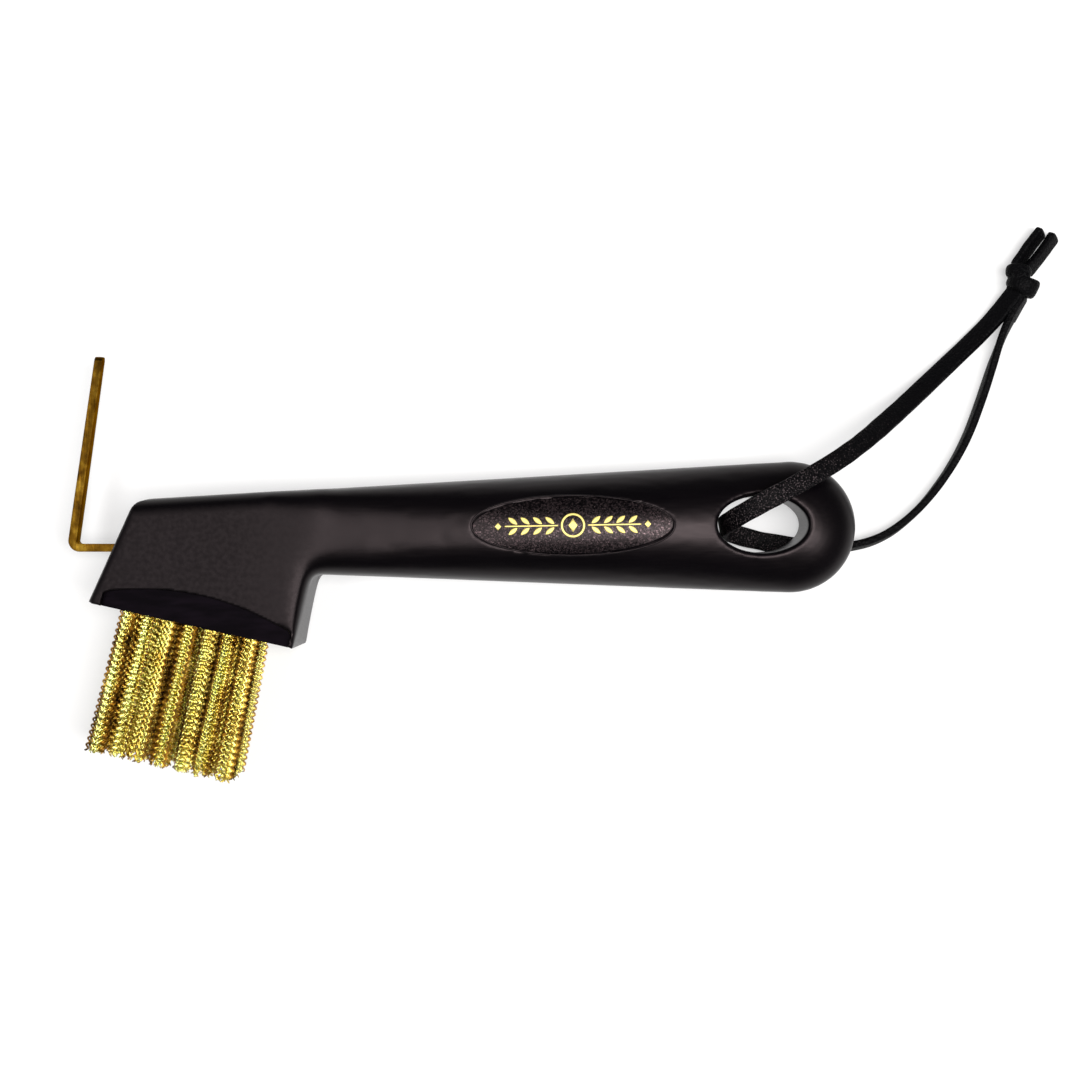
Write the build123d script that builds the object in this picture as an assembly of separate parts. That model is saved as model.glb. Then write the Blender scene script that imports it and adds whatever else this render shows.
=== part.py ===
from build123d import *
import os
from math import cos, pi, radians, sin, tan

# A hoof pick that lies on its side. All sizes are in millimetres.
# +X runs along the handle from the hook to the lace, +Y points the way the hook points, +Z is up.
# The head's lower face and the belly of the grip rest on Z = 0, and the pick, without its lace,
# is centred on X = 0 and Y = 0.

# ---- driving dimensions ----

half_length = 98.1              # half of the pick's length, hook bend to handle end
depth = 24.0                    # greatest thickness, along Z
mid = depth / 2

reach = 2 * half_length         # longer than any sub-part, for cutters that have to go past it
overshoot = 1.0                 # by which a pocket's cutter runs past the face that it opens in
parallel = 0.999                # cosine above which two directions count as the same

# Grip: a loft through closed sections that change from squarish at the head to oval at the eye.
grip_axis_at_0 = 9.32           # Y of the grip's centre line at X = 0
grip_axis_slope = 0.0102
grip_half_height_at_0 = 12.37
grip_half_height_slope = 0.0502
end_radius = 16.4               # round end, seen from above
end_half_depth = 8.8
end_step = 0.03                 # by which the grip's last section lies inside the round end
# each station: X, half depth, squareness of the section (2 is an ellipse)
grip_stations = [
    (-48.0, 11.9, 6.0),
    (-34.0, 11.75, 4.6),
    (-16.0, 11.3, 3.0),
    (8.0, 11.6, 2.35),
    (33.0, 11.99, 2.1),
    (54.0, 11.3, 2.0),
    (67.0, 10.2, 2.0),
]
section_points = 32

# Head: a box with its own axes, u along its brush side and v away from the bristles.
head_tip = (-90.75, -8.3)       # corner between the brush side and the end face
head_tilt = -12.7               # degrees from +X to the u axis
head_length = 51.2              # along u
head_end_lean = 24.3            # degrees from +Y to the end face
head_corner_round = 5.0         # where the end face meets the top, seen from above
head_top_round = 4.5
head_end_round = 1.8
head_back_round = 1.0
head_wall = 1.8                 # side walls beside the brush block

# Eye for the lace
eye_centre = (73.9, 10.8)
eye_length = 22.5
eye_height = 14.0
eye_rim = 1.0                   # rounding of the eye's two rims

# Oval panels, one on each side of the grip
panel_centre = (27.3, 10.5)
panel_length = 48.6
panel_height = 13.6
panel_tilt = 1.0
panel_thickness = 0.8
panel_groove = 0.25             # gap round the panel

# Brush block
block_start = 3.4               # along u
block_end = 49.9
block_height = 11.0             # along v
arch_side = 3.5                 # height of the window's straight sides
arch_top = 7.7                  # height of the window at its middle

# Tufts
tuft_columns = 7
tuft_rows = 4
tuft_pitch_u = 5.1
tuft_pitch_z = 5.1
tuft_middle_u = 24.9
tuft_fan = 1.5                  # degrees by which the outer columns lean outwards
tuft_length = 35.8              # beyond the block
tuft_root_radius = 1.85         # in its hole
tuft_foot_radius = 2.2          # just clear of the block
tuft_foot_gap = 0.1             # keeps the leaning bundle off the block's face
tuft_tip_radius = 2.4
tuft_hole_radius = 1.95
tuft_hole_depth = 7.0
anchor_width = 3.2
anchor_height = 1.6
anchor_thickness = 0.5
anchor_inset = 1.4              # from the bottom of the hole to the anchor's middle

# Hook: a flat bar, bent once
hook_thickness = 2.0
hook_width = 3.6
hook_tip_width = 2.4
hook_taper_start = 17.0         # Y where the leg starts to narrow
hook_shank_y = 5.0
hook_tang_end = -58.0
hook_lean = 8.0                 # degrees from +Y to the leg
hook_top = 52.7
hook_bend_radius = 1.8          # at the bar's middle
tang_hole_radius = 0.8
tang_holes_x = (-66.0, -74.0)

# Lace: a flat leather lace 5 wide and 2 thick, held here as a round tube along its middle
lace_radius = 1.2
arc_share = 0.45                # of the shorter run, taken up by the arc at its end
eye_turn = (65.2, 10.4, mid)
front_route = [
    eye_turn,
    (65.2, 11.2, 19.5),
    (72.4, 15.6, 24.6),
    (82.2, 20.6, 23.0),
    (96.0, 28.5, 17.4),
    (109.2, 38.9, 8.4),
    (121.6, 50.0, 3.0),
    (131.6, 59.4, 2.4),
    (137.0, 65.3, 3.0),
    (140.2, 69.9, 4.6),
]
back_route = [
    eye_turn,
    (65.2, 9.6, 4.5),
    (73.0, 7.2, 1.2),
    (84.5, 5.0, 1.2),
    (96.0, 4.6, 1.8),
    (106.4, 6.9, 2.5),
    (115.4, 13.7, 2.5),
    (122.4, 22.2, 2.5),
    (128.1, 31.9, 2.5),
    (132.1, 42.6, 2.5),
    (135.5, 53.2, 2.5),
    (138.8, 62.6, 3.0),
    (142.3, 68.3, 3.6),
]
knot_centre = (141.5, 73.4, 4.6)
knot_half_length = 5.2
knot_radius = 4.3
knot_direction = 60.0           # degrees from +X
tail_width = 4.6
tail_thickness = 2.0
tail_length = 11.5
tail_roll = 70.0                # degrees about its own length
# each tail: X, Y, Z of its middle, direction in degrees from +X
tails = [
    (144.4, 81.4, 2.7, 54.0),
    (147.5, 80.3, 2.7, 53.0),
]


# ---- frames and outlines ----

head_frame = Plane(
    origin=(head_tip[0], head_tip[1], 0),
    x_dir=(cos(radians(head_tilt)), sin(radians(head_tilt)), 0),
    z_dir=(0, 0, 1),
)
end_x = half_length - end_radius


def grip_axis(x):
    return grip_axis_at_0 + grip_axis_slope * x


def grip_half_height(x):
    return grip_half_height_at_0 + grip_half_height_slope * x


def from_head(u, v, z=0.0):
    """A point of the head's frame, in the part's own axes."""
    return head_frame.from_local_coords(Vector(u, v, z))


def on_top_line(start, direction):
    """Where a line from start, seen from above, meets the straight top line of the pick."""
    slope = grip_axis_slope + grip_half_height_slope
    gap = grip_axis(start.X) + grip_half_height(start.X) - start.Y
    distance = gap / (direction.Y - slope * direction.X)
    return start + direction * distance


def along_z(outline, low, high):
    """A flat outline in the X and Y plane, made solid between two heights."""
    return extrude(Pos(0, 0, low) * outline, high - low, dir=(0, 0, 1))


def through(outline):
    """A flat outline, made solid from below the part to above it."""
    return along_z(outline, -reach, reach)


def egg(radius, half_length_along_z):
    """An ellipsoid of revolution about Z."""
    right_half = Pos(reach / 2, 0) * Rectangle(reach, reach)
    half_oval = Plane.XZ * (Ellipse(radius, half_length_along_z) & right_half)
    return revolve(half_oval, Axis.Z, 360)


# ---- handle and head ----

def grip_section(x, half_height, half_depth, squareness):
    """A closed smooth section across X, an ellipse that gets squarer with squareness."""
    points = []
    for step in range(section_points):
        angle = 2 * pi * step / section_points
        across = abs(cos(angle)) ** (2 / squareness)
        rise = abs(sin(angle)) ** (2 / squareness)
        y = grip_axis(x) + half_height * (across if cos(angle) > 0 else -across)
        z = mid + half_depth * (rise if sin(angle) > 0 else -rise)
        points.append((x, y, z))
    return Face(Wire([Spline(*points, periodic=True)]))


def grip(inset=0.0):
    """The grip from inside the head to its round end, smaller all round by inset."""
    last = inset + end_step
    sections = [
        grip_section(x, grip_half_height(x) - inset, half_depth - inset, squareness)
        for x, half_depth, squareness in grip_stations
    ]
    sections.append(grip_section(end_x, end_radius - last, end_half_depth - last, 2.0))
    return loft(sections)


def round_end():
    """The grip's round end, a flattened ball."""
    return Pos(end_x, grip_axis(end_x), mid) * egg(end_radius, end_half_depth)


def head():
    """The head's box, with its corner, end, back and top edges rounded."""
    end_direction = Vector(sin(radians(head_end_lean)), cos(radians(head_end_lean)), 0)
    tip = from_head(0, 0)
    back = from_head(head_length, 0)
    top_end = on_top_line(tip, end_direction)
    top_back = on_top_line(back, head_frame.y_dir)
    outline = Face(Wire(Polyline(tip, back, top_back, top_end, close=True)))
    corner = outline.vertices().sort_by_distance(top_end)[0]
    box = along_z(fillet(corner, head_corner_round), 0, depth)
    box = fillet(edges_along(box, end_direction), head_end_round)
    box = fillet(edges_along(box, head_frame.y_dir), head_back_round)
    across_top = Plane(origin=top_end, x_dir=(0, 0, 1), z_dir=top_back - top_end)
    band = Pos(mid, reach / 2) * RectangleRounded(depth, reach, head_top_round)
    return box & extrude(across_top * band, reach, both=True)


def edges_along(solid, direction):
    """The straight edges of solid that lie along direction."""
    straight = solid.edges().filter_by(GeomType.LINE)
    return straight.filter_by(lambda edge: abs(edge.tangent_at(0).dot(direction)) > parallel)


def with_eye(body):
    """The body with the lace's eye cut through it, and the eye's two rims rounded."""
    hole = through(Pos(*eye_centre) * Ellipse(eye_length / 2, eye_height / 2))
    cut = body - hole
    return fillet(new_edges(body, hole, combined=cut), eye_rim)


def oval(grow, low, high):
    """A panel's oval, larger all round by grow, made solid between two heights."""
    outline = Ellipse(panel_length / 2 + grow, panel_height / 2 + grow)
    return along_z(Pos(*panel_centre) * Rot(0, 0, panel_tilt) * outline, low, high)


def brush_pocket():
    """The space for the brush block, open on the brush side."""
    size = (block_end - block_start, block_height + overshoot, depth - 2 * head_wall)
    box = Box(*size, align=(Align.MIN, Align.MIN, Align.MIN))
    return head_frame * Pos(block_start, -overshoot, head_wall) * box


def arched_windows():
    """The cutter for the arched windows in both side walls."""
    half = (block_end - block_start) / 2
    left = (block_start, arch_side)
    right = (block_end, arch_side)
    crown = (block_start + half, arch_top)
    sides = Polyline(left, (block_start, -overshoot), (block_end, -overshoot), right)
    outline = Face(Wire([ThreePointArc(left, crown, right), *sides.edges()]))
    return head_frame * through(outline)


# ---- hook ----

def hook():
    """A flat bar on edge: a tang in the head, one tight bend and a leg that narrows to a round tip."""
    lean = radians(hook_lean)
    rise = hook_top - hook_shank_y
    outside = hook_bend_radius + hook_thickness / 2
    bend_x = outside - half_length - hook_bend_radius * tan(pi / 4 + lean / 2)
    bend = (bend_x, hook_shank_y)
    tip = (bend_x + rise * tan(lean), hook_top)
    path = FilletPolyline((hook_tang_end, hook_shank_y), bend, tip, radius=hook_bend_radius)
    bar = along_z(trace(path, hook_thickness), mid - hook_width / 2, mid + hook_width / 2)
    half = hook_width / 2
    tip_half = hook_tip_width / 2
    shoulder = hook_top - tip_half
    side = Polyline(
        (shoulder, mid + tip_half),
        (hook_taper_start, mid + half),
        (-reach, mid + half),
        (-reach, mid - half),
        (hook_taper_start, mid - half),
        (shoulder, mid - tip_half),
    )
    round_tip = ThreePointArc(
        (shoulder, mid + tip_half), (hook_top, mid), (shoulder, mid - tip_half)
    )
    profile = Plane.YZ * Face(Wire([round_tip, *side.edges()]))
    narrowed = bar & extrude(profile, reach, dir=(-1, 0, 0))
    for x in tang_holes_x:
        hole = Rot(90, 0, 0) * Cylinder(tang_hole_radius, hook_width)
        narrowed -= Pos(x, hook_shank_y, mid) * hole
    return narrowed


# ---- brush ----

def tuft_frame(column, row):
    """The place of one tuft: its origin on the block's face, its Z along the bristles."""
    from_middle = column - (tuft_columns - 1) / 2
    u = tuft_middle_u + from_middle * tuft_pitch_u
    z = mid + (row - (tuft_rows - 1) / 2) * tuft_pitch_z
    lean = radians(tuft_fan * from_middle / ((tuft_columns - 1) / 2))
    outward = head_frame.x_dir * sin(lean) - head_frame.y_dir * cos(lean)
    return Plane(origin=from_head(u, 0, z), x_dir=(0, 0, 1), z_dir=outward)


def tuft_hole(place):
    """The blind hole in the block for one tuft, run a little past the face."""
    hole = Cylinder(
        tuft_hole_radius, tuft_hole_depth + overshoot,
        align=(Align.CENTER, Align.CENTER, Align.MIN),
    )
    return place * Pos(0, 0, -tuft_hole_depth) * hole


def anchor(place):
    """The flat clip that one tuft is folded over."""
    clip = Box(anchor_width, anchor_thickness, anchor_height)
    return place * Pos(0, 0, anchor_inset - tuft_hole_depth) * clip


def tuft(place):
    """One bundle of wire as a plain solid: a root in the block and a bundle that widens outwards."""
    root = Cylinder(
        tuft_root_radius, tuft_hole_depth + tuft_foot_gap,
        align=(Align.CENTER, Align.CENTER, Align.MAX),
    )
    bundle = Cone(
        tuft_foot_radius, tuft_tip_radius, tuft_length - tuft_foot_gap,
        align=(Align.CENTER, Align.CENTER, Align.MIN),
    )
    return place * Pos(0, 0, tuft_foot_gap) * (root + bundle) - anchor(place)


def brush_block(places):
    """The block that holds the tufts, flush with the head's brush side."""
    size = (block_end - block_start, block_height, depth - 2 * head_wall)
    box = Box(*size, align=(Align.MIN, Align.MIN, Align.MIN))
    block = head_frame * Pos(block_start, 0, head_wall) * box
    for place in places:
        block -= tuft_hole(place)
    return block


# ---- lace ----

def corner_radii(route):
    """The largest arc for each corner of a route that its two runs leave room for."""
    points = [Vector(*point) for point in route]
    radii = []
    for before, corner, after in zip(points, points[1:], points[2:]):
        run_in = corner - before
        run_out = after - corner
        turn = radians(run_in.get_angle(run_out))
        radii.append(arc_share * min(run_in.length, run_out.length) / tan(turn / 2))
    return radii


def lace_tube(name, route):
    """A round tube along straight runs joined by tangent arcs."""
    radii = corner_radii(route)
    path = FilletPolyline(*route, radius=radii)
    start = Plane(origin=path @ 0, z_dir=path % 0)
    tube = sweep(start * Circle(lace_radius), path=path)
    expected = pi * lace_radius**2 * path.length
    print(name, "length", round(path.length, 1), "volume ratio", round(tube.volume / expected, 4))
    print(name, "radii", [round(radius, 1) for radius in radii])
    return tube


def knot():
    """The knot as a plain egg shape."""
    lying = Rot(0, 90, 0) * egg(knot_radius, knot_half_length)
    return Pos(*knot_centre) * Rot(0, 0, knot_direction) * lying


def tail(x, y, z, direction):
    """One flat end of the lace beyond the knot."""
    strip = Box(tail_length, tail_width, tail_thickness)
    return Pos(x, y, z) * Rot(0, 0, direction) * Rot(tail_roll, 0, 0) * strip


# ---- the whole pick ----

def build():
    """Every sub-part by its node's name."""
    bar = hook()
    places = {
        (column, row): tuft_frame(column, row)
        for column in range(tuft_columns)
        for row in range(tuft_rows)
    }
    whole_grip = grip()
    skin = whole_grip - grip(panel_thickness)
    body = with_eye(head() + whole_grip + round_end())
    body -= skin & (oval(panel_groove, mid, reach) + oval(panel_groove, -reach, mid))
    body -= arched_windows()
    body -= brush_pocket()
    body -= bar
    nodes = {
        "handle_and_head": body,
        "oval_panel_front": skin & oval(0, mid, reach),
        "oval_panel_back": skin & oval(0, -reach, mid),
        "hook": bar,
        "brush_block": brush_block(places.values()),
        "tuft_anchors": Compound(children=[anchor(place) for place in places.values()]),
        "lanyard_front_leg": lace_tube("front leg", front_route),
        "lanyard_back_leg": lace_tube("back leg", back_route),
        "lanyard_knot": knot(),
    }
    for (column, row), place in places.items():
        nodes[f"tuft_{column + 1}_{row + 1}"] = tuft(place)
    for number, place in enumerate(tails, start=1):
        nodes[f"lanyard_tail_{number}"] = tail(*place)
    return nodes


os.makedirs("parts", exist_ok=True)
for node, shape in build().items():
    export_step(shape, f"parts/{node}.step")
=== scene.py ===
import random
from math import cos, pi, radians, sin

import bmesh
import bpy
import numpy as np
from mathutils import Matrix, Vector, noise
from mathutils.bvhtree import BVHTree


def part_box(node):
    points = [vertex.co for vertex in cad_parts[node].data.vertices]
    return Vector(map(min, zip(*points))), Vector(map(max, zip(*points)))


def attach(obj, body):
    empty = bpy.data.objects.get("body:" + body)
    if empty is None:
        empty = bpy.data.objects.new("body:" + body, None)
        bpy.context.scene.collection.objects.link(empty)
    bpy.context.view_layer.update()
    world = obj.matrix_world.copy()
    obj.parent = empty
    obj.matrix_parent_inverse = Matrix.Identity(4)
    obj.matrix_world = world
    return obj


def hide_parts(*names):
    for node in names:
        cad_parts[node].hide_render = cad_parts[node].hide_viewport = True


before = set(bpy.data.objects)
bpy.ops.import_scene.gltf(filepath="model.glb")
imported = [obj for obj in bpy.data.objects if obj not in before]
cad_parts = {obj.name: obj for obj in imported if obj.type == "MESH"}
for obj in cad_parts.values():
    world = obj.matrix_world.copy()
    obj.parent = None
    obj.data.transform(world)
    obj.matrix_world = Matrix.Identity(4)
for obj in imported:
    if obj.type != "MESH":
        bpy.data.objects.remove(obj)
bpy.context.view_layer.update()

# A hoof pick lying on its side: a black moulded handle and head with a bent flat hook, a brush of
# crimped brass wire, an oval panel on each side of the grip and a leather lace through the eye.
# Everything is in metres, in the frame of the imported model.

MM = 0.001
UP = Vector((0, 0, 1))


# ---- camera ----

VIEW_CENTRE = (19.3 * MM, 6.93 * MM)
VIEW_PLANE = 12 * MM            # height at which the view is VIEW_WIDTH wide
VIEW_WIDTH = 270 * MM
CAMERA_DISTANCE = 400 * MM      # from the view plane
SENSOR = 36                     # in Blender's millimetres

camera_data = bpy.data.cameras.new("camera")
camera_data.sensor_width = SENSOR
camera_data.lens = SENSOR * CAMERA_DISTANCE / VIEW_WIDTH
camera_data.clip_start = 0.01
camera = bpy.data.objects.new("camera", camera_data)
camera.location = (*VIEW_CENTRE, VIEW_PLANE + CAMERA_DISTANCE)
bpy.context.scene.collection.objects.link(camera)
bpy.context.scene.camera = camera


# ---- helpers for meshes ----

def new_object(name, vertices, faces, material):
    """A smooth-shaded mesh object of these vertices and faces."""
    mesh = bpy.data.meshes.new(name)
    mesh.from_pydata([tuple(vertex) for vertex in vertices], [], faces)
    mesh.materials.append(material)
    mesh.shade_smooth()
    piece = bpy.data.objects.new(name, mesh)
    bpy.context.scene.collection.objects.link(piece)
    return piece


def applied(piece):
    """The piece with its modifiers worked into its mesh."""
    bpy.context.view_layer.update()
    evaluated = piece.evaluated_get(bpy.context.evaluated_depsgraph_get())
    mesh = bpy.data.meshes.new_from_object(evaluated)
    piece.modifiers.clear()
    piece.data = mesh
    return piece


def modifier(piece, kind, **settings):
    """Adds a modifier with these settings."""
    added = piece.modifiers.new(kind.lower(), kind)
    for key, value in settings.items():
        setattr(added, key, value)


def between(stops, share):
    """The value at share, from stops, a list of (share, number or vector)."""
    for (low, before), (high, after) in zip(stops, stops[1:]):
        if share <= high:
            part = (share - low) / (high - low)
            part = part * part * (3 - 2 * part)
            return before + (after - before) * part
    return stops[-1][1]


def ring_faces(rings, size):
    """Faces of a closed tube of that many rings, with its two end caps."""
    faces = []
    for ring in range(rings - 1):
        for side in range(size):
            after = (side + 1) % size
            low = ring * size
            faces.append((low + side, low + after, low + size + after, low + size + side))
    faces.append(tuple(reversed(range(size))))
    faces.append(tuple(range((rings - 1) * size, rings * size)))
    return faces


def loop_faces(rings, size, start=0):
    """Faces of a tube whose last ring joins its first."""
    faces = []
    for ring in range(rings):
        low = start + ring * size
        high = start + (ring + 1) % rings * size
        for side in range(size):
            after = (side + 1) % size
            faces.append((low + side, low + after, high + after, high + side))
    return faces


def sweep(points, sides, outline):
    """Rings of vertices along the points. sides has the across direction at shares of the
    length, and outline(share) gives each ring as (across, out) distances."""
    distances = [0.0]
    for before, after in zip(points, points[1:]):
        distances.append(distances[-1] + (after - before).length)
    vertices = []
    for index, point in enumerate(points):
        share = distances[index] / distances[-1]
        ahead = points[min(index + 1, len(points) - 1)] - points[max(index - 1, 0)]
        tangent = ahead.normalized()
        across = between(sides, share)
        across = (across - across.dot(tangent) * tangent).normalized()
        out = tangent.cross(across)
        vertices += [point + across * a + out * b for a, b in outline(share)]
    return vertices


def squarish(width, thickness, squareness, size):
    """A closed outline of that many points: an ellipse that gets squarer with squareness."""
    outline = []
    for step in range(size):
        angle = 2 * pi * (step + 0.5) / size
        across = abs(cos(angle)) ** (2 / squareness) * (1 if cos(angle) > 0 else -1)
        out = abs(sin(angle)) ** (2 / squareness) * (1 if sin(angle) > 0 else -1)
        outline.append((across * width / 2, out * thickness / 2))
    return outline


def in_plane(degrees):
    """The direction at that angle from +X, level."""
    return Vector((cos(radians(degrees)), sin(radians(degrees)), 0))


# ---- helpers for materials ----

def new_material(name, **values):
    """A material, its node tree and its Principled shader, with constant values on its sockets."""
    material = bpy.data.materials.new(name)
    material.use_nodes = True
    shader = material.node_tree.nodes["Principled BSDF"]
    for key, value in values.items():
        shader.inputs[key.replace("_", " ")].default_value = value
    return material, material.node_tree, shader


def add_node(tree, kind, inputs, **settings):
    """A node with its inputs, by name or number, linked to a socket or set to a value."""
    node = tree.nodes.new(kind)
    for key, value in settings.items():
        setattr(node, key, value)
    for key, value in inputs.items():
        if isinstance(value, bpy.types.NodeSocket):
            tree.links.new(value, node.inputs[key])
        else:
            node.inputs[key].default_value = value
    return node


def place_in(tree, scale=(1, 1, 1)):
    """The place on the piece in metres, stretched by scale."""
    coordinates = tree.nodes.new("ShaderNodeTexCoord").outputs["Object"]
    return add_node(tree, "ShaderNodeMapping", {"Vector": coordinates, "Scale": scale}).outputs[0]


def noise_in(tree, place, size, detail=3.0):
    """Noise whose features are about that size in metres."""
    inputs = {"Vector": place, "Scale": 1 / size, "Detail": detail}
    return add_node(tree, "ShaderNodeTexNoise", inputs).outputs[0]


def ramp(tree, value, *stops):
    """A colour for each value, from stops of (position, colour)."""
    node = add_node(tree, "ShaderNodeValToRGB", {0: value})
    elements = node.color_ramp.elements
    while len(elements) < len(stops):
        elements.new(1)
    for element, (position, colour) in zip(elements, stops):
        element.position = position
        element.color = (*colour, 1)
    return node.outputs[0]


def to_range(tree, value, low, high, from_low=0.0, from_high=1.0):
    """value, moved from one range to another and clamped."""
    inputs = {0: value, 1: from_low, 2: from_high, 3: low, 4: high}
    return add_node(tree, "ShaderNodeMapRange", inputs).outputs[0]


def feed(tree, shader, name, socket):
    """Links a socket to the shader's input of that name."""
    tree.links.new(socket, shader.inputs[name])


def bump(tree, shader, height, strength, depth):
    """Gives the shader a relief of that depth in metres."""
    inputs = {"Height": height, "Strength": strength, "Distance": depth}
    feed(tree, shader, "Normal", add_node(tree, "ShaderNodeBump", inputs).outputs[0])


# ---- materials ----

MIDDLE = 12 * MM                # height of the middle plane
FLAT_FROM, FLAT_TO = 11.3 * MM, 11.9 * MM       # distance from it where the flat faces begin
HEAD_FROM, HEAD_TO = -56 * MM, -22 * MM         # X over which the head's matt face fades out


def moulded_plastic():
    """Black moulded plastic: glossy on the grip, matt on the head's two flat faces."""
    material, tree, shader = new_material(
        "black_moulded_plastic", Specular_IOR_Level=0.16, Specular_Tint=(1.0, 0.82, 0.84, 1)
    )
    place = place_in(tree)
    clouds = noise_in(tree, place, 14 * MM)
    grain = noise_in(tree, place, 0.22 * MM, 2.0)
    streaks = noise_in(tree, place_in(tree, (0.03, 1, 1)), 0.35 * MM, 2.0)
    colour = ramp(tree, clouds, (0.35, (0.0004, 0.0003, 0.0007)), (0.7, (0.0010, 0.0007, 0.0013)))
    feed(tree, shader, "Base Color", colour)
    parts = add_node(tree, "ShaderNodeSeparateXYZ", {0: place})
    height = add_node(tree, "ShaderNodeMath", {0: parts.outputs[2], 1: MIDDLE}, operation="SUBTRACT")
    far = add_node(tree, "ShaderNodeMath", {0: height.outputs[0]}, operation="ABSOLUTE").outputs[0]
    flat = to_range(tree, far, 0.0, 1.0, FLAT_FROM, FLAT_TO)
    head = to_range(tree, parts.outputs[0], 1.0, 0.0, HEAD_FROM, HEAD_TO)
    matt = add_node(tree, "ShaderNodeMath", {0: flat, 1: head}, operation="MULTIPLY").outputs[0]
    gloss = to_range(tree, streaks, 0.29, 0.36, 0.3, 0.7)
    scuffs = noise_in(tree, place, 1.1 * MM, 9.0)
    rough = to_range(tree, scuffs, 0.46, 0.60, 0.35, 0.65)
    mixed = add_node(
        tree, "ShaderNodeMix", {"Factor": matt, "A": gloss, "B": rough}, data_type="FLOAT"
    )
    feed(tree, shader, "Roughness", mixed.outputs[0])
    bump(tree, shader, grain, 0.25, 0.03 * MM)
    return material


def block_plastic():
    """Dull purple-black plastic with faint scuffs."""
    material, tree, shader = new_material(
        "block_plastic", Specular_IOR_Level=0.03, Specular_Tint=(1.0, 0.8, 1.0, 1)
    )
    grain = noise_in(tree, place_in(tree), 0.3 * MM)
    scuffs = noise_in(tree, place_in(tree, (0.4, 1.6, 1)), 3 * MM, 6.0)
    colour = ramp(tree, scuffs, (0.4, (0.0003, 0.0002, 0.0005)), (0.75, (0.0040, 0.0026, 0.0044)))
    feed(tree, shader, "Base Color", colour)
    feed(tree, shader, "Roughness", to_range(tree, scuffs, 0.42, 0.62))
    bump(tree, shader, grain, 0.3, 0.04 * MM)
    return material


def glitter():
    """Black lacquer full of small dark metal flakes."""
    material, tree, shader = new_material(
        "glitter_lacquer", Specular_IOR_Level=0.16, Specular_Tint=(1.0, 0.82, 0.84, 1)
    )
    cells = {"Vector": place_in(tree), "Scale": 1 / (0.3 * MM)}
    flakes = add_node(tree, "ShaderNodeTexVoronoi", cells)
    tilt = add_node(tree, "ShaderNodeSeparateColor", {0: flakes.outputs["Color"]})
    bright = to_range(tree, tilt.outputs[0], 0.0, 1.0, 0.75, 0.95)
    dark, light = (0.0004, 0.0003, 0.0006), (0.050, 0.036, 0.038)
    feed(tree, shader, "Base Color", ramp(tree, tilt.outputs[0], (0.62, dark), (1.0, light)))
    feed(tree, shader, "Metallic", bright)
    feed(tree, shader, "Roughness", to_range(tree, tilt.outputs[1], 0.2, 0.4))
    bump(tree, shader, tilt.outputs[2], 0.4, 0.04 * MM)
    return material


def gold_print():
    """Pale gold foil with a fine grain."""
    material, tree, shader = new_material("gold_print", Metallic=0.35)
    grain = noise_in(tree, place_in(tree), 0.25 * MM, 4.0)
    colour = ramp(tree, grain, (0.3, (0.66, 0.53, 0.13)), (0.7, (0.86, 0.74, 0.24)))
    feed(tree, shader, "Base Color", colour)
    feed(tree, shader, "Roughness", to_range(tree, grain, 0.35, 0.6))
    bump(tree, shader, grain, 0.3, 0.02 * MM)
    return material


def antique_brass():
    """Brass-plated steel, darkened in patches and brushed along its length."""
    material, tree, shader = new_material(
        "antique_brass", Metallic=1.0, Specular_Tint=(0.75, 0.52, 0.20, 1)
    )
    patches = noise_in(tree, place_in(tree), 4 * MM, 6.0)
    brushed = noise_in(tree, place_in(tree, (1, 0.08, 1)), 0.4 * MM, 3.0)
    colour = ramp(
        tree, patches,
        (0.30, (0.022, 0.009, 0.001)), (0.50, (0.075, 0.036, 0.003)), (0.72, (0.17, 0.10, 0.011)),
    )
    feed(tree, shader, "Base Color", colour)
    feed(tree, shader, "Roughness", to_range(tree, brushed, 0.26, 0.48, 0.3, 0.7))
    bump(tree, shader, brushed, 0.3, 0.05 * MM)
    return material


def brass_wire():
    """Bright crimped brass wire, each wire with its own colour from brown to greenish gold at random,
    and painted shade that darkens the wires at each tuft's sides.
    """
    material, tree, shader = new_material("brass_wire", Metallic=1.0)
    # each wire's random colour value, lowered by painted shade towards the sides of its tuft
    tone_and_shade = add_node(tree, "ShaderNodeAttribute", {}, attribute_name="tone_and_shade").outputs["Fac"]
    stains = noise_in(tree, place_in(tree), 5 * MM)
    both = add_node(tree, "ShaderNodeMath", {0: tone_and_shade, 1: stains}, operation="ADD")
    halved = add_node(tree, "ShaderNodeMath", {0: both.outputs[0], 1: 0.5}, operation="MULTIPLY")
    colour = ramp(
        tree, halved.outputs[0],
        (0.18, (0.012, 0.006, 0.002)), (0.34, (0.34, 0.16, 0.015)),
        (0.50, (0.95, 0.78, 0.17)), (0.70, (0.90, 0.97, 0.36)),
    )
    feed(tree, shader, "Base Color", colour)
    feed(tree, shader, "Roughness", to_range(tree, tone_and_shade, 0.30, 0.15))
    return material


HIGHLIGHT_SPECKS_FROM, HIGHLIGHT_SPECKS_TO = 84 * MM, 116 * MM          # X over which the painted highlight specks fade out


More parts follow.
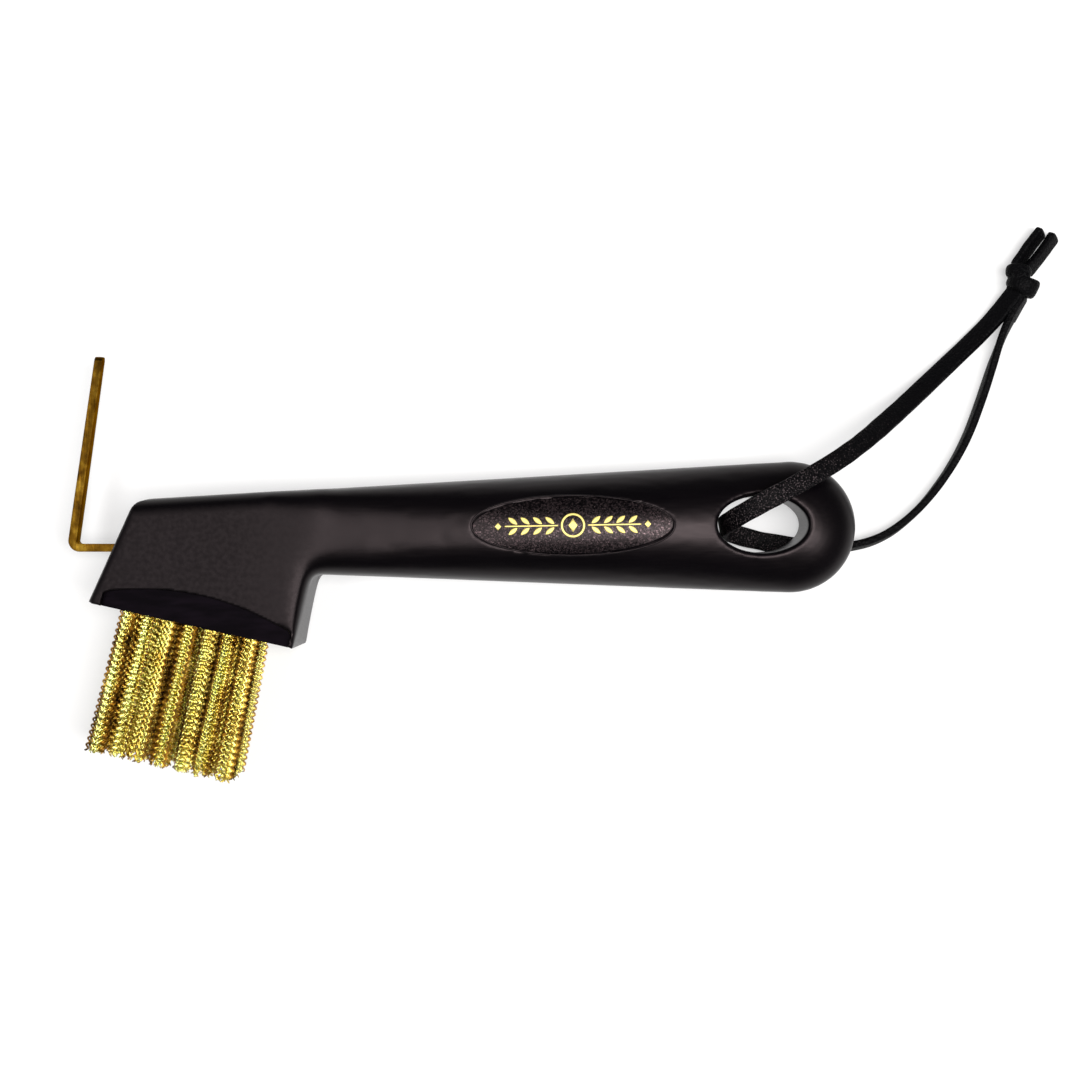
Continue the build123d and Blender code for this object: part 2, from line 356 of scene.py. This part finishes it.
def leather():
    """Black leather with a pebbled grain, and small light specks of painted highlight on the part near
    the handle.
    """
    material, tree, shader = new_material("black_leather", Specular_IOR_Level=0.06)
    place = place_in(tree)
    pebbles = add_node(tree, "ShaderNodeTexVoronoi", {"Vector": place, "Scale": 1 / (0.55 * MM)})
    specks = noise_in(tree, place, 0.36 * MM, 1.0)
    parts = add_node(tree, "ShaderNodeSeparateXYZ", {0: place})
    # painted highlight: light specks only on the lace near the handle, where the light falls on it
    highlight_share = to_range(tree, parts.outputs[0], 0.09, -0.10, HIGHLIGHT_SPECKS_FROM, HIGHLIGHT_SPECKS_TO)
    painted_highlight_specks = add_node(tree, "ShaderNodeMath", {0: specks, 1: highlight_share}, operation="ADD").outputs[0]
    colour = ramp(tree, painted_highlight_specks, (0.66, (0.0006, 0.0005, 0.0009)), (0.80, (0.070, 0.056, 0.058)))
    feed(tree, shader, "Base Color", colour)
    feed(tree, shader, "Roughness", to_range(tree, specks, 0.42, 0.70, 0.3, 0.7))
    bump(tree, shader, pebbles.outputs["Distance"], 0.9, 0.16 * MM)
    return material


PLASTIC = moulded_plastic()
BLOCK = block_plastic()
GLITTER = glitter()
GOLD = gold_print()
BRASS = antique_brass()
WIRE = brass_wire()
LEATHER = leather()


# ---- lace: two legs that meet in the eye ----

LACE_WIDTH = 4.9 * MM
LACE_THICKNESS = 2 * MM
LACE_OUTLINE_POINTS = 20
LACE_SQUARENESS = 4.5           # of the section, where 2 is an ellipse
LACE_SWAY = 0.06                # share by which a leg's width varies
LACE_SWAYS = 24                 # how often it does, along a leg
LINE_RESOLUTION = 14            # points for each stretch of a leg's line
EYE_TURN = (0.0652, 0.0104, 0.0120)
FRONT_ROUTE = [
    EYE_TURN,
    (0.0652, 0.0112, 0.0195),
    (0.0724, 0.0156, 0.0246),
    (0.0822, 0.0206, 0.0230),
    (0.0960, 0.0285, 0.0174),
    (0.1092, 0.0389, 0.0084),
    (0.1216, 0.0500, 0.0030),
    (0.1316, 0.0594, 0.0024),
    (0.1370, 0.0653, 0.0030),
    (0.1402, 0.0699, 0.0046),
]
BACK_ROUTE = [
    EYE_TURN,
    (0.0652, 0.0096, 0.0045),
    (0.0730, 0.0072, 0.0012),
    (0.0845, 0.0050, 0.0012),
    (0.0960, 0.0046, 0.0018),
    (0.1064, 0.0069, 0.0025),
    (0.1154, 0.0137, 0.0025),
    (0.1224, 0.0222, 0.0025),
    (0.1281, 0.0319, 0.0025),
    (0.1321, 0.0426, 0.0025),
    (0.1355, 0.0532, 0.0025),
    (0.1388, 0.0626, 0.0030),
    (0.1423, 0.0683, 0.0036),
]
# the direction of the lace's width, at shares of each leg's length
FRONT_SIDES = [
    (0.00, in_plane(104)), (0.10, in_plane(116)), (0.35, in_plane(121) - UP * 0.1),
    (0.60, in_plane(129) - UP * 0.45), (0.85, in_plane(133) - UP * 0.8),
    (1.00, in_plane(140) - UP * 0.8),
]
BACK_SIDES = [
    (0.00, -in_plane(104)), (0.10, -in_plane(76)), (0.20, -in_plane(78)),
    (0.34, -UP - in_plane(100) * 0.25), (0.80, -UP), (1.00, -UP - in_plane(160) * 0.5),
]


def spline_points(name, route):
    """The points of a smooth NURBS line that has the route as its control points."""
    curve = bpy.data.curves.new(name, "CURVE")
    curve.dimensions = "3D"
    curve.resolution_u = LINE_RESOLUTION
    spline = curve.splines.new("NURBS")
    spline.points.add(len(route) - 1)
    for point, place in zip(spline.points, route):
        point.co = (*place, 1)
    spline.order_u = 3
    spline.use_endpoint_u = True
    carrier = bpy.data.objects.new(name, curve)
    bpy.context.scene.collection.objects.link(carrier)
    bpy.context.view_layer.update()
    mesh = bpy.data.meshes.new_from_object(carrier)
    points = [vertex.co.copy() for vertex in mesh.vertices]
    bpy.data.objects.remove(carrier)
    bpy.data.meshes.remove(mesh)
    return points


def lace_outline(seed):
    """Rings of a cut leather strap whose width and thickness vary a little."""
    def outline(share):
        sway = noise.noise(Vector((share * LACE_SWAYS, seed, 0))) * LACE_SWAY
        width = LACE_WIDTH * (1 + sway)
        thickness = LACE_THICKNESS * (1 - sway)
        return squarish(width, thickness, LACE_SQUARENESS, LACE_OUTLINE_POINTS)
    return outline


def lace_leg(name, route, sides, seed):
    """One leg of the lace, a flat strap that stays above the ground, and the points of its line."""
    points = spline_points(name + "_line", route)
    vertices = sweep(points, sides, lace_outline(seed))
    for vertex in vertices:
        vertex.z = max(vertex.z, 0)
    piece = new_object(name, vertices, ring_faces(len(points), LACE_OUTLINE_POINTS), LEATHER)
    return piece, points


front_leg, front_points = lace_leg("front_leg", FRONT_ROUTE, FRONT_SIDES, 3.0)
back_leg, back_points = lace_leg("back_leg", BACK_ROUTE, BACK_SIDES, 8.0)


# ---- knot and tails ----

KNOT_LOW, KNOT_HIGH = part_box("lanyard_knot")
KNOT_CENTRE = (KNOT_LOW + KNOT_HIGH) / 2
KNOT_AXIS = in_plane(76)
KNOT_STEPS = 64
KNOT_SECTION = 18               # points round the lace's section in the knot
KNOT_SQUARENESS = 2.8
KNOT_FLATNESS = 0.9             # height of a turn against its width
KNOT_VOXEL = 0.16 * MM
# each turn: shift along the axis and to its right, radius, tilt of the axis, lace width and
# thickness, and by how much the turn's right side is wider than its left
KNOT_TURNS = [
    (-1.1 * MM, 0.6 * MM, 3.0 * MM, Vector((0.20, 0.00, 0.20)), 4.3 * MM, 2.2 * MM, 0.14),
    (1.8 * MM, -0.7 * MM, 2.2 * MM, Vector((-0.10, 0.00, -0.20)), 2.8 * MM, 2.1 * MM, -0.05),
    (0.2 * MM, 0.1 * MM, 2.9 * MM, Vector((0.80, -0.45, 0.30)), 2.8 * MM, 1.8 * MM, 0.0),
    (0.0 * MM, 0.0 * MM, 1.20 * MM, Vector((0.0, 0.0, 0.0)), 5.2 * MM, 2.6 * MM, 0.0),
]


def knot_turn(shift, right, radius, tilt, width, thickness, lobe):
    """A closed flat turn of lace round the knot, a little lower than it is wide."""
    axis = (KNOT_AXIS + tilt).normalized()
    first = axis.cross(UP).normalized()
    second = axis.cross(first)
    centre = KNOT_CENTRE + KNOT_AXIS * shift + first * right
    vertices = []
    for step in range(KNOT_STEPS):
        angle = 2 * pi * step / KNOT_STEPS
        swell = 1 + lobe * cos(angle)
        out = first * cos(angle) + second * sin(angle) * KNOT_FLATNESS
        middle = centre + out * radius * swell
        section = squarish(width * swell, thickness, KNOT_SQUARENESS, KNOT_SECTION)
        vertices += [middle + axis * across + out * outward for across, outward in section]
    return vertices


LEG_END_WIDTH = LACE_WIDTH * 1.02               # a little wider than the leg that it covers
LEG_END_THICKNESS = LACE_THICKNESS * 1.08
LEG_END_POINTS = (-8, -4, -1)   # points of the leg's line, from its end, that the cover follows
LEG_END_MIDWAY = 0.4            # share of the way from the leg's end to the middle of the knot


def leg_end(points, side):
    """The lace from the last stretch of a leg into the middle of the knot."""
    path = [points[index] for index in LEG_END_POINTS]
    path += [points[-1].lerp(KNOT_CENTRE, LEG_END_MIDWAY), KNOT_CENTRE]
    section = squarish(LEG_END_WIDTH, LEG_END_THICKNESS, LACE_SQUARENESS, KNOT_SECTION)
    return path, sweep(path, [(0, side), (1, side)], lambda share: section)


def knot():
    """The overhand knot: turns of lace that merge into one form with creases between them."""
    vertices, faces = [], []
    for turn in KNOT_TURNS:
        faces += loop_faces(KNOT_STEPS, KNOT_SECTION, len(vertices))
        vertices += knot_turn(*turn)
    for points, sides in ((front_points, FRONT_SIDES), (back_points, BACK_SIDES)):
        path, end_vertices = leg_end(points, sides[-1][1])
        start = len(vertices)
        vertices += end_vertices
        end_faces = ring_faces(len(path), KNOT_SECTION)
        faces += [tuple(start + index for index in face) for face in end_faces]
    piece = new_object("knot", vertices, faces, LEATHER)
    modifier(piece, "REMESH", mode="VOXEL", voxel_size=KNOT_VOXEL, use_smooth_shade=True)
    modifier(piece, "SMOOTH", factor=0.5, iterations=3)
    return applied(piece)


knot_piece = knot()

TAIL_LENGTH = 11.5 * MM
TAIL_WIDTH = 4.4 * MM
TAIL_THICKNESS = 1.9 * MM
TAIL_ROLL = 50                  # degrees about its own length, from level
TAIL_STEPS = 30
TAIL_ROUND = 0.08               # share of the length that the rounded tip takes
TAIL_BLUNT = 0.08               # least of the tip's rounding that is left at its very end
TAIL_TIP = 0.55                 # size of the section that the rounding would close to, as a share
TAIL_SWAY = 0.10                # share by which a tail's width varies
TAIL_SWAYS = 5                  # how often it does, along a tail


def tail(name, node, heading, bend, seed):
    """One flat end of the lace, from inside the knot to a cut and softened tip."""
    low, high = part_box(node)
    forward = in_plane(heading)
    sideways = in_plane(heading + 90)
    start = (low + high) / 2 - forward * TAIL_LENGTH / 2
    points = []
    for step in range(TAIL_STEPS + 1):
        share = step / TAIL_STEPS
        points.append(start + forward * TAIL_LENGTH * share + sideways * bend * sin(pi * share))
    across = sideways * cos(radians(TAIL_ROLL)) + UP * sin(radians(TAIL_ROLL))

    def outline(share):
        tip = min(1.0, max(0.0, (share - 1 + TAIL_ROUND) / TAIL_ROUND))
        rounding = max(TAIL_BLUNT, (1 - tip * tip) ** 0.5)
        size = TAIL_TIP + (1 - TAIL_TIP) * rounding
        sway = 1 + TAIL_SWAY * noise.noise(Vector((share * TAIL_SWAYS, seed, 0)))
        width, thickness = TAIL_WIDTH * size * sway, TAIL_THICKNESS * size
        return squarish(width, thickness, LACE_SQUARENESS, LACE_OUTLINE_POINTS)

    vertices = sweep(points, [(0, across), (1, across)], outline)
    return new_object(name, vertices, ring_faces(len(points), LACE_OUTLINE_POINTS), LEATHER)


# name, CAD node, heading in degrees, sideways bend and seed
tails = [
    tail("lace_end_1", "lanyard_tail_1", 54, 0.2 * MM, 1.0),
    tail("lace_end_2", "lanyard_tail_2", 53, -0.2 * MM, 5.0),
]
for piece, node in zip(tails, ("lanyard_tail_1", "lanyard_tail_2")):
    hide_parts(node)
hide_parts("lanyard_knot")
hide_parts("lanyard_front_leg")
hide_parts("lanyard_back_leg")
for piece in (front_leg, back_leg, knot_piece, *tails):
    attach(piece, "lanyard")


# ---- brush: bundles of crimped wire ----

TUFT_COLUMNS = 7
TUFT_ROWS = 4
WIRE_RADIUS = 0.15 * MM
WIRE_SIDES = 4
STRANDS = 6                     # groups of wires in a tuft that are crimped together
WIRES_PER_STRAND = 8
CRIMP_LENGTH = 1.6 * MM
CRIMP_HEIGHT = 0.36 * MM
POINTS_PER_CRIMP = 5
TUFT_FOOT = 1.35 * MM           # radius of the strands' middles at the block
TUFT_TIP = 1.60 * MM
STRAND_RADIUS = 0.62 * MM
UNEVEN = 1.6 * MM               # most by which a wire ends short
END_BAND = 0.2 * MM             # depth of the vertices that make up each end of a CAD tuft
SPACING_SPREAD = 0.2            # most by which a strand leaves its even place, in strands
CRIMP_TURN = 0.9                # most by which a strand's crimp turns, in radians
LEAN_ACROSS = 0.35 * MM         # spread of a strand's lean at its tip, two ways
LEAN_UP = 0.3 * MM
FAN = 1.3                       # how much wider a strand is at its tip than at its foot
WANDER = 0.12 * MM              # spread of a wire's bow at its middle
PHASE_SPREAD = 0.35             # in radians, between the wires of a strand
STRAND_TONES = (0.35, 0.85)
TONE_SPREAD = 0.12              # between the wires of a strand
GAP_SHADE = 1.3                # painted shade: how much darker the wires get towards a tuft's two sides, standing in for the shade in the gaps between tufts
GAP_SHADE_START = 0.45              # share of the way out at which that painted shade begins


def tuft_axis(node):
    """The root, the tip and the direction of a CAD tuft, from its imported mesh."""
    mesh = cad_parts[node].data
    places = np.array([vertex.co for vertex in mesh.vertices])
    middle = places.mean(axis=0)
    axis = np.linalg.svd(places - middle)[2][0]
    axis = axis if axis[1] < 0 else -axis
    heights = (places - middle) @ axis
    root = places[heights < heights.min() + END_BAND].mean(axis=0)
    tip = places[heights > heights.max() - END_BAND].mean(axis=0)
    direction = (tip - root) / np.linalg.norm(tip - root)
    return root, tip, direction


def wire(start, direction, length, offset_foot, offset_tip, crimp, phase, wander):
    """Rings of one crimped wire, as an array of rings by sides by 3."""
    steps = int(length / CRIMP_LENGTH * POINTS_PER_CRIMP) + 1
    s = np.linspace(0, 1, steps)[:, None]
    drift = offset_foot + (offset_tip - offset_foot) * s + wander * np.sin(pi * s)
    wave = np.sin(2 * pi * s * length / CRIMP_LENGTH + phase) * CRIMP_HEIGHT
    centre = start + direction * length * s + drift + crimp * wave
    tangent = np.gradient(centre, axis=0)
    tangent /= np.linalg.norm(tangent, axis=1, keepdims=True)
    flat = np.cross(direction, crimp)
    normal = np.cross(tangent, flat)
    rings = []
    for side in range(WIRE_SIDES):
        angle = 2 * pi * side / WIRE_SIDES
        rings.append(centre + (flat * cos(angle) + normal * sin(angle)) * WIRE_RADIUS)
    return np.stack(rings, axis=1)


def tuft(column, row, dice):
    """One bundle of crimped wires, in the place of its CAD solid."""
    node = f"tuft_{column}_{row}"
    root, tip, direction = tuft_axis(node)
    length = float(np.linalg.norm(tip - root))
    first = np.cross(direction, (0, 0, 1.0))
    first /= np.linalg.norm(first)
    second = np.cross(direction, first)
    vertices, faces, tones_and_shade = [], [], []
    count = 0
    for strand in range(STRANDS):
        shift = dice.uniform(-SPACING_SPREAD, SPACING_SPREAD)
        angle = 2 * pi * (strand + shift) / (STRANDS - 1)
        reach = 0 if strand == STRANDS - 1 else 1
        place = first * cos(angle) + second * sin(angle)
        turn = dice.uniform(-CRIMP_TURN, CRIMP_TURN)
        crimp = first * cos(turn) + second * sin(turn)
        phase = dice.uniform(0, 2 * pi)
        lean = first * dice.gauss(0, LEAN_ACROSS) + second * dice.gauss(0, LEAN_UP)
        strand_tone = dice.uniform(*STRAND_TONES)
        for _ in range(WIRES_PER_STRAND):
            around = dice.uniform(0, 2 * pi)
            out = STRAND_RADIUS * dice.uniform(0, 1) ** 0.5
            own = (first * cos(around) + second * sin(around)) * out
            foot = place * TUFT_FOOT * reach + own
            end = place * TUFT_TIP * reach + own * FAN + lean
            wander = first * dice.gauss(0, WANDER) + second * dice.gauss(0, WANDER)
            rings = wire(
                root, direction, length - UNEVEN * dice.uniform(0, 1) ** 2, foot, end,
                crimp, phase + dice.gauss(0, PHASE_SPREAD), wander,
            )
            vertices.append(rings.reshape(-1, 3))
            faces += [tuple(count + i for i in face) for face in ring_faces(len(rings), WIRE_SIDES)]
            # painted shade: wires near a tuft's sides get a darker value, for the shade in the gaps
            # between tufts
            edge = abs(float(np.dot(foot, first))) / (TUFT_FOOT + STRAND_RADIUS)
            gap_shade = GAP_SHADE * max(0.0, edge - GAP_SHADE_START)
            tone_and_shade = strand_tone + dice.gauss(0, TONE_SPREAD) - gap_shade
            tones_and_shade += [min(1, max(0, tone_and_shade))] * rings.shape[0] * WIRE_SIDES
            count += rings.shape[0] * WIRE_SIDES
    piece = new_object(f"wires_{column}_{row}", np.concatenate(vertices), faces, WIRE)
    attribute = piece.data.attributes.new("tone_and_shade", "FLOAT", "POINT")
    attribute.data.foreach_set("value", tones_and_shade)
    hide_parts(node)
    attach(piece, "pick")


dice = random.Random(7)
for column in range(1, TUFT_COLUMNS + 1):
    for row in range(1, TUFT_ROWS + 1):
        tuft(column, row, dice)


# ---- handle and head ----

BODY_VOXEL = 0.5 * MM
SOFT_BEND = radians(12)                     # faces that meet at less are smoothed together
FLAT_PASSES = 14                            # of smoothing, on such faces
SHOULDER = Vector((-36 * MM, 4 * MM))       # where the head's back wall meets the grip
SHOULDER_HALVES = Vector((13 * MM, 24 * MM))    # half length and half height of its blend
SHOULDER_PASSES = 220                       # of smoothing, on the blend
SHOULDER_FALL = 2.2                         # how steeply the blend's weight falls to its edge
SHOULDER_CORE = 4 * MM                      # half depth about mid-height with the least weight
SHOULDER_RISE = 5 * MM                      # depth over which the weight grows from there
LEAST_BELOW = 0.12                          # least weight under the line Y = 0
LEAST_ABOVE = 0.8
BEAD_RADIUS = 0.32 * MM
BEAD_SUNK = 0.16 * MM
BEAD_OUT = 0.45 * MM                        # outside the panel's edge
BEAD_STEPS = 200
BEAD_SECTION = 10
RAY_START = 30 * MM                         # from a panel's middle, outside the whole pick


def shoulder_weight(place):
    """How much the shoulder's blend moves this place: least at mid-height in the inner corner."""
    away = place.to_2d() - SHOULDER
    distance = Vector((away.x / SHOULDER_HALVES.x, away.y / SHOULDER_HALVES.y)).length
    least = LEAST_BELOW if place.y < 0 else LEAST_ABOVE
    face = min(1.0, max(least, (abs(place.z - MIDDLE) - SHOULDER_CORE) / SHOULDER_RISE))
    return max(0.0, min(1.0, SHOULDER_FALL * (1 - distance))) * face


def smooth_where(piece, weights, iterations):
    """Smooths the piece's mesh, each vertex by its own weight."""
    group = piece.vertex_groups.new(name="smoothed")
    for index, weight in enumerate(weights):
        if weight > 0:
            group.add([index], weight, "REPLACE")
    modifier(piece, "SMOOTH", factor=0.5, iterations=iterations, vertex_group="smoothed")
    applied(piece)
    piece.vertex_groups.clear()


def bead(name, node, side, body):
    """The thin rounded rim that frames one oval panel, half sunk into the moulding."""
    low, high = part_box(node)
    middle = (low + high) / 2
    half_length = (high.x - low.x) / 2
    half_width = (high.y - low.y) / 2
    surface = BVHTree.FromObject(body, bpy.context.evaluated_depsgraph_get())
    vertices = []
    for step in range(BEAD_STEPS):
        angle = 2 * pi * step / BEAD_STEPS
        x = middle.x + cos(angle) * half_length
        y = middle.y + sin(angle) * half_width
        out = Vector((cos(angle) * half_width, sin(angle) * half_length, 0)).normalized()
        above = Vector((x, y, middle.z + side * RAY_START)) + out * BEAD_OUT
        centre = surface.ray_cast(above, -side * UP)[0] - side * UP * BEAD_SUNK
        for across, outward in squarish(2 * BEAD_RADIUS, 2 * BEAD_RADIUS, 2, BEAD_SECTION):
            vertices.append(centre + out * across + UP * outward)
    piece = new_object(name, vertices, loop_faces(BEAD_STEPS, BEAD_SECTION), PLASTIC)
    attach(piece, "pick")


def moulding():
    """The handle and head with softened edges, and a smooth shoulder between the two."""
    piece = bpy.data.objects.new("moulding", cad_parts["handle_and_head"].data.copy())
    bpy.context.scene.collection.objects.link(piece)
    modifier(piece, "REMESH", mode="VOXEL", voxel_size=BODY_VOXEL, use_smooth_shade=True)
    modifier(piece, "SMOOTH", factor=0.5, iterations=2)
    applied(piece)
    shape = bmesh.new()
    shape.from_mesh(piece.data)
    bends = [max(edge.calc_face_angle(0) for edge in vertex.link_edges) for vertex in shape.verts]
    shape.free()
    flats = [1.0 if bend < SOFT_BEND else 0.0 for bend in bends]
    smooth_where(piece, flats, FLAT_PASSES)
    blend = [shoulder_weight(vertex.co) for vertex in piece.data.vertices]
    smooth_where(piece, blend, SHOULDER_PASSES)
    piece.data.materials.clear()
    piece.data.materials.append(PLASTIC)
    piece.data.shade_smooth()
    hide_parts("handle_and_head")
    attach(piece, "pick")
    return piece


body = moulding()
bead("panel_rim_front", "oval_panel_front", 1, body)
bead("panel_rim_back", "oval_panel_back", -1, body)


# ---- hook ----

HOOK_EDGE = 0.35 * MM           # rounding of the bar's edges
HOOK_MERGE = 0.001 * MM         # vertices nearer than this are one
HOOK_FLAT = radians(0.5)        # faces that meet at less are one
HOOK_SHARP = radians(40)        # edges sharper than this are rounded


def hook():
    """The bent flat bar, with its long edges rounded by wear."""
    mesh = bpy.data.meshes.new("pick_hook")
    shape = bmesh.new()
    shape.from_mesh(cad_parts["hook"].data)
    bmesh.ops.remove_doubles(shape, verts=shape.verts, dist=HOOK_MERGE)
    bmesh.ops.dissolve_limit(shape, angle_limit=HOOK_FLAT, verts=shape.verts, edges=shape.edges)
    shape.to_mesh(mesh)
    shape.free()
    mesh.materials.clear()
    mesh.materials.append(BRASS)
    mesh.shade_smooth()
    piece = bpy.data.objects.new("pick_hook", mesh)
    bpy.context.scene.collection.objects.link(piece)
    modifier(
        piece, "BEVEL", width=HOOK_EDGE, segments=3, limit_method="ANGLE",
        angle_limit=HOOK_SHARP, harden_normals=True,
    )
    applied(piece)
    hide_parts("hook")
    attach(piece, "pick")


hook()


# ---- oval panels and their ornament ----

PANEL_TILT = radians(1)
PRINT_RISE = 0.05 * MM
PRINT_WELD = 0.01 * MM
RING_RADIUS = 2.7 * MM
LINE_WIDTH = 0.5 * MM
LEAF_PLACES = [5.6 * MM, 8.6 * MM, 11.6 * MM, 14.6 * MM]    # from the middle of the panel
LEAF_RISE = 1.25 * MM                       # of a leaf's middle, from the stem
LEAF_LENGTH = 2.7 * MM
LEAF_WIDTH = 1.15 * MM
LEAF_LEAN = 38                              # degrees
STEM_ENDS = (3.6 * MM, 16.6 * MM)
LOZENGE = (1.1 * MM, 1.7 * MM)              # half length and half height
BUD_PLACE = 18.2 * MM                       # of the small lozenge beyond each stem
BUD_LENGTH = 1.4 * LOZENGE[0]
BUD_HEIGHT = 0.55                           # against the lozenge
PRINT_ACROSS = 4                            # quads across each printed shape


def strip(middle, heading, length, half_width, steps=14):
    """A printed shape along a straight line, as two lists of edge points from end to end."""
    forward = Vector((cos(heading), sin(heading)))
    sideways = Vector((-sin(heading), cos(heading)))
    left, right = [], []
    for step in range(steps + 1):
        share = step / steps
        point = middle + forward * length * (share - 0.5)
        left.append(point + sideways * half_width(share))
        right.append(point - sideways * half_width(share))
    return left, right


def printed_ring(radius, width, steps=72):
    """A printed ring, as its outer and its inner edge."""
    outer, inner = [], []
    for step in range(steps + 1):
        way = Vector((cos(2 * pi * step / steps), sin(2 * pi * step / steps)))
        outer.append(way * (radius + width / 2))
        inner.append(way * (radius - width / 2))
    return outer, inner


def leaf(share):
    """Half the width of a leaf."""
    return LEAF_WIDTH / 2 * max(0.04, sin(pi * share)) ** 0.8


def stem(share):
    """Half the width of a stem."""
    return LINE_WIDTH / 3


def lozenge(share):
    """Half the height of the lozenge."""
    return LOZENGE[1] * max(0.03, 1 - abs(2 * share - 1))


def bud(share):
    """Half the height of the small lozenge beyond a stem."""
    return BUD_HEIGHT * lozenge(share)


def ornament_shapes():
    """A ring with a lozenge in it, and on each side a stem with pairs of leaves and a bud."""
    shapes = [
        printed_ring(RING_RADIUS, LINE_WIDTH),
        strip(Vector((0, 0)), 0, 2 * LOZENGE[0], lozenge),
    ]
    for side in (-1, 1):
        middle = Vector((side * sum(STEM_ENDS) / 2, 0))
        shapes.append(strip(middle, 0, STEM_ENDS[1] - STEM_ENDS[0], stem, 40))
        shapes.append(strip(Vector((side * BUD_PLACE, 0)), 0, BUD_LENGTH, bud))
        for place in LEAF_PLACES:
            for up in (-1, 1):
                lean = radians(LEAF_LEAN) * side * up
                middle = Vector((side * place, up * LEAF_RISE))
                shapes.append(strip(middle, lean, LEAF_LENGTH, leaf))
    return shapes


def ornament(name, node, side):
    """The gold print on one panel, laid on the panel's curved face."""
    low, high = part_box(node)
    middle = (low + high) / 2
    surface = BVHTree.FromObject(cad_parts[node], bpy.context.evaluated_depsgraph_get())
    vertices, faces = [], []
    for left, right in ornament_shapes():
        start = len(vertices)
        for a, b in zip(left, right):
            for step in range(PRINT_ACROSS + 1):
                flat = a.lerp(b, step / PRINT_ACROSS)
                x = middle.x + flat.x * cos(PANEL_TILT) - flat.y * sin(PANEL_TILT)
                y = middle.y + flat.x * sin(PANEL_TILT) + flat.y * cos(PANEL_TILT)
                above = Vector((x, y, middle.z + side * RAY_START))
                vertices.append(surface.ray_cast(above, -side * UP)[0])
        width = PRINT_ACROSS + 1
        for row in range(len(left) - 1):
            for step in range(PRINT_ACROSS):
                corner = start + row * width + step
                face = (corner, corner + 1, corner + width + 1, corner + width)
                faces.append(face if side < 0 else face[::-1])
    piece = new_object(name, vertices, faces, GOLD)
    modifier(piece, "WELD", merge_threshold=PRINT_WELD)
    modifier(piece, "SOLIDIFY", thickness=2 * PRINT_RISE, offset=0)
    applied(piece)
    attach(piece, "pick")


ornament("gold_print_front", "oval_panel_front", 1)
ornament("gold_print_back", "oval_panel_back", -1)


# ---- CAD nodes that keep their shape ----

def dress(node, material):
    """Gives a CAD node its material."""
    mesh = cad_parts[node].data
    mesh.materials.clear()
    mesh.materials.append(material)


dress("brush_block", BLOCK)
dress("oval_panel_front", GLITTER)
dress("oval_panel_back", GLITTER)
dress("tuft_anchors", BRASS)


# ---- floor and light ----

FLOOR_GLOW = 0.45
FLOOR_DROP = 0.1 * MM           # below the pick
FLOOR_PROFILE = [(1.0, 0), (5.0, 0), (5.5, 0.1), (5.8, 0.35), (6.0, 0.8)]   # (radius, height) in metres
FLOOR_STEPS = 64


# name, place, length and width in metres, power in watts, colour
LIGHTS = [
    ("key", (0.20, -0.02, 0.80), (0.46, 0.32), 6.6, (1.0, 0.98, 0.97)),
    ("side", (0.50, -0.16, 0.72), (0.24, 0.24), 2.5, (1.0, 1.0, 1.0)),
    ("fill", (-0.46, 0.00, 0.85), (0.36, 0.36), 3.2, (1.0, 1.0, 1.0)),
]
WORLD_STRENGTH = 0.12


def area_light(name, place, size, power, colour):
    """A rectangular soft light that points straight down."""
    data = bpy.data.lights.new(name, "AREA")
    data.shape = "RECTANGLE"
    data.size, data.size_y = size
    data.energy = power
    data.color = colour
    light = bpy.data.objects.new(name, data)
    light.location = place
    bpy.context.scene.collection.objects.link(light)


def floor():
    """A plain pale floor just under the pick, turned up at its far edge."""
    material, tree, shader = new_material(
        "pale_floor", Roughness=0.9, Specular_IOR_Level=0.1, Emission_Strength=FLOOR_GLOW
    )
    shader.inputs["Emission Color"].default_value = (1, 1, 1, 1)
    soft = noise_in(tree, place_in(tree), 0.4)
    colour = ramp(tree, soft, (0.0, (0.48, 0.48, 0.48)), (1.0, (0.52, 0.52, 0.52)))
    feed(tree, shader, "Base Color", colour)
    vertices = []
    for radius, height in FLOOR_PROFILE:
        for step in range(FLOOR_STEPS):
            vertices.append(in_plane(360 * step / FLOOR_STEPS) * radius + UP * height)
    walls = ring_faces(len(FLOOR_PROFILE), FLOOR_STEPS)[:-2]
    faces = [face[::-1] for face in walls] + [tuple(range(FLOOR_STEPS))]
    piece = new_object("floor", vertices, faces, material)
    piece.location.z = -FLOOR_DROP


floor()
for light in LIGHTS:
    area_light(*light)
world = bpy.data.worlds.new("studio")
world.use_nodes = True
background = world.node_tree.nodes["Background"]
background.inputs["Color"].default_value = (1, 1, 1, 1)
background.inputs["Strength"].default_value = WORLD_STRENGTH
bpy.context.scene.world = world
bpy.context.scene.view_settings.view_transform = "Standard"
